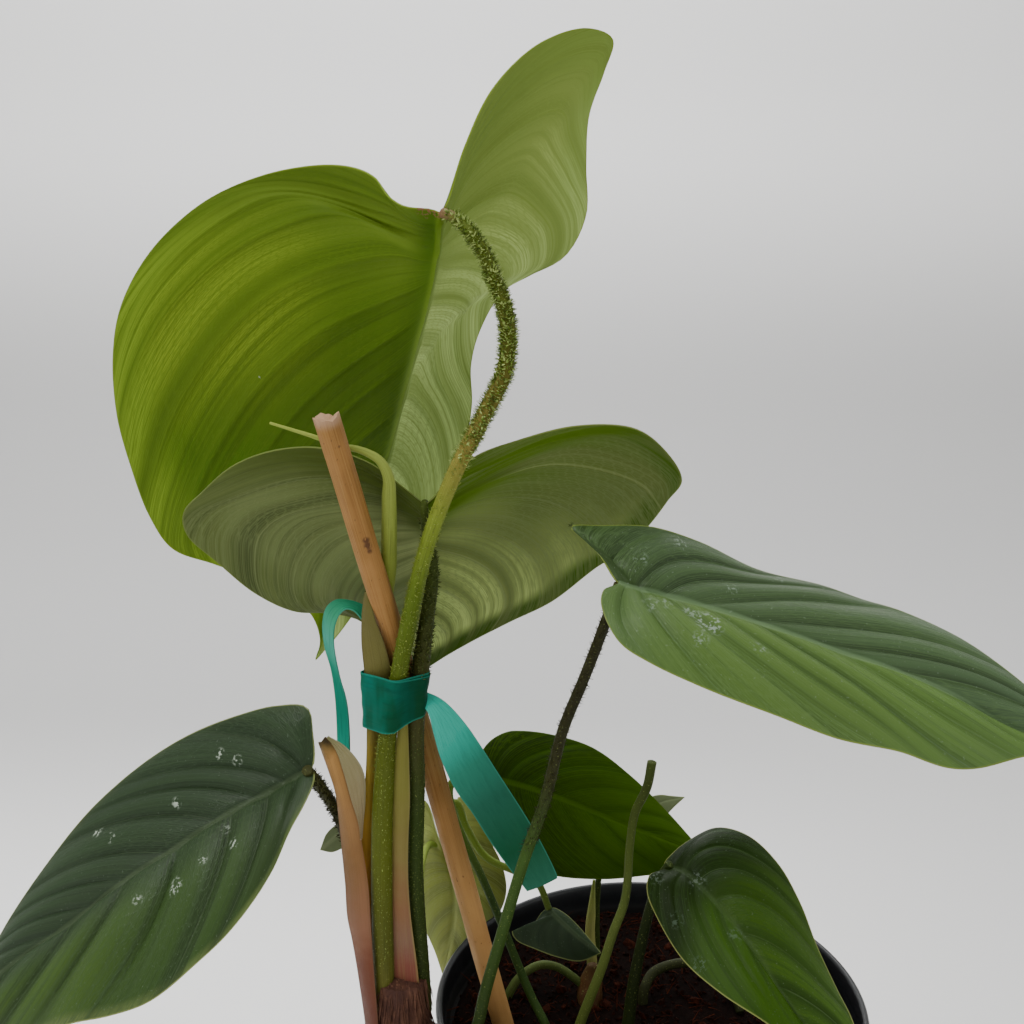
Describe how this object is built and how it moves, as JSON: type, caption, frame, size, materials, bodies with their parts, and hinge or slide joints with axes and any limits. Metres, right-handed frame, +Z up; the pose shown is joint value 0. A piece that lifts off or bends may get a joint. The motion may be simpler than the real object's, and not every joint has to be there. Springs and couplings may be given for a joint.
{
  "type": "potted fuzzy petiole philodendron",
  "caption": "Potted philodendron with heart-shaped leaves on scaly stalks, taped to a leaning wooden stake, whose creeping stem grows over the rim of a round black nursery pot.",
  "frame": {"origin": "middle of the pot's flat underside", "axes": "+Z up, the direction in which the plant is tallest; the plant is mostly seen from the -Y side, with +X to the right from there"},
  "size_m": [0.3622, 0.1663, 0.4872],
  "materials": {
    "black_pot": "glossy black moulded plastic",
    "coir_soil": "rough dark coir and bark crumbs",
    "brown_stem": "fibrous brown bark",
    "stake_wood": "raw tan wood",
    "tall_leaf_green": "satin yellow-green underside",
    "grey_leaf_green": "matt grey-green underside",
    "mid_leaf_green": "satin mid green",
    "dark_leaf_green": "satin dark blue-green",
    "deep_leaf_green": "satin deep green",
    "yellow_leaf_green": "matt yellow-green",
    "stalk_green": "scaly olive green",
    "bristly_green": "bristly dark green to brown",
    "young_green": "smooth pale green",
    "orange_husk": "dry orange-brown husk",
    "pink_husk": "thin pink husk",
    "teal_tape": "glossy teal stretch tape"
  },
  "bodies": {
    "root": {"pot": "black_pot", "soil": "coir_soil", "creeping_stem": "brown_stem", "wooden_stake": "stake_wood", "tall_leaf_blade": "tall_leaf_green", "broad_leaf_blade": "grey_leaf_green", "right_leaf_blade": "mid_leaf_green", "left_leaf_blade": "dark_leaf_green", "back_leaf_blade": "deep_leaf_green", "front_leaf_blade": "mid_leaf_green", "old_leaf_blade": "yellow_leaf_green", "soil_leaf_blade": "dark_leaf_green", "hidden_leaf_blade": "grey_leaf_green", "bud_leaf_blade": "dark_leaf_green", "tall_leaf_petiole": "stalk_green", "broad_leaf_petiole": "bristly_green", "right_leaf_petiole": "bristly_green", "left_leaf_petiole": "bristly_green", "back_leaf_petiole": "stalk_green", "front_leaf_petiole": "stalk_green", "old_leaf_petiole": "young_green", "soil_leaf_petiole": "stalk_green", "hidden_leaf_petiole": "stalk_green", "bud_leaf_stalk": "stalk_green", "rolled_new_leaf": "young_green", "cut_petiole": "stalk_green", "young_spear": "young_green", "side_crown": "pink_husk", "left_root": "young_green", "right_root": "young_green", "split_sheath": "orange_husk", "brown_sheath": "orange_husk", "pink_sheath": "pink_husk", "tape_wrap": "teal_tape", "tape_loop": "teal_tape", "tape_tail": "teal_tape"}
  },
  "joints": []
}
